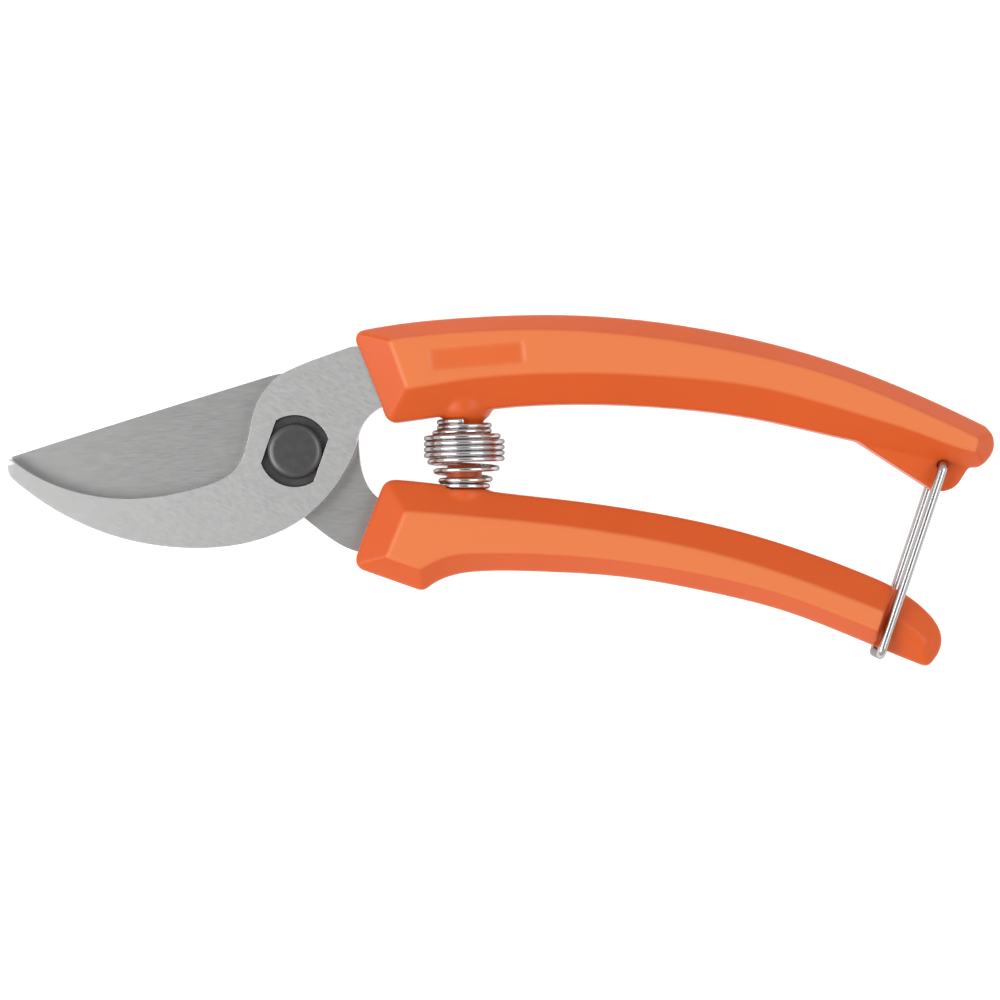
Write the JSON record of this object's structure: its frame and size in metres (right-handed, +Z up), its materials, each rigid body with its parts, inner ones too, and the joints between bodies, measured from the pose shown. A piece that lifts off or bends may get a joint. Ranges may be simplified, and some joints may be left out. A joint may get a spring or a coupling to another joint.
{
  "type": "bypass pruner",
  "caption": "Hand pruner with a hooked counter blade, a sharpened bypass blade, moulded plastic grips, a keyed pivot bolt, a barrel coil spring and a wire catch that holds it shut.",
  "frame": {"origin": "middle of the closed pruner as it lies flat, on the surface it lies on", "axes": "+X from the blades to the grips' ends, +Y from the lower grip to the upper grip, +Z up through the thickness, out of the counter blade's face"},
  "size_m": [0.2086, 0.0744, 0.0176],
  "materials": {
    "counter_steel": "brushed",
    "blade_steel": "ground",
    "grip_plastic": "satin",
    "dark_steel": "black oxide",
    "plated_steel": "zinc plated",
    "ring_nylon": "plain",
    "spring_wire": "polished",
    "catch_steel": "polished"
  },
  "bodies": {
    "upper": {"counter_blade": "counter_steel", "upper_grip": "grip_plastic", "pivot_bolt": "dark_steel", "pivot_washer": "plated_steel", "pivot_nut": "plated_steel", "nut_lock_ring": "ring_nylon", "coil_spring": "spring_wire"},
    "lower": {"cutting_blade": "blade_steel", "lower_grip": "grip_plastic"},
    "catch": {"catch_wire": "catch_steel"}
  },
  "joints": [
    {"name": "blade_pivot", "type": "hinge", "parent": "upper", "child": "lower", "pos_m": [-0.0436, 0.00837, 0.0088], "axis": [0, 0, -1], "range_deg": [-1.5, 25], "deforming": ["coil_spring"]},
    {"name": "catch_swing", "type": "hinge", "parent": "upper", "child": "catch", "pos_m": [0.0933, 0.00537, 0.0088], "axis": [0, 0, 1], "range_deg": [0, 100], "deforming": ["catch_wire"]}
  ]
}
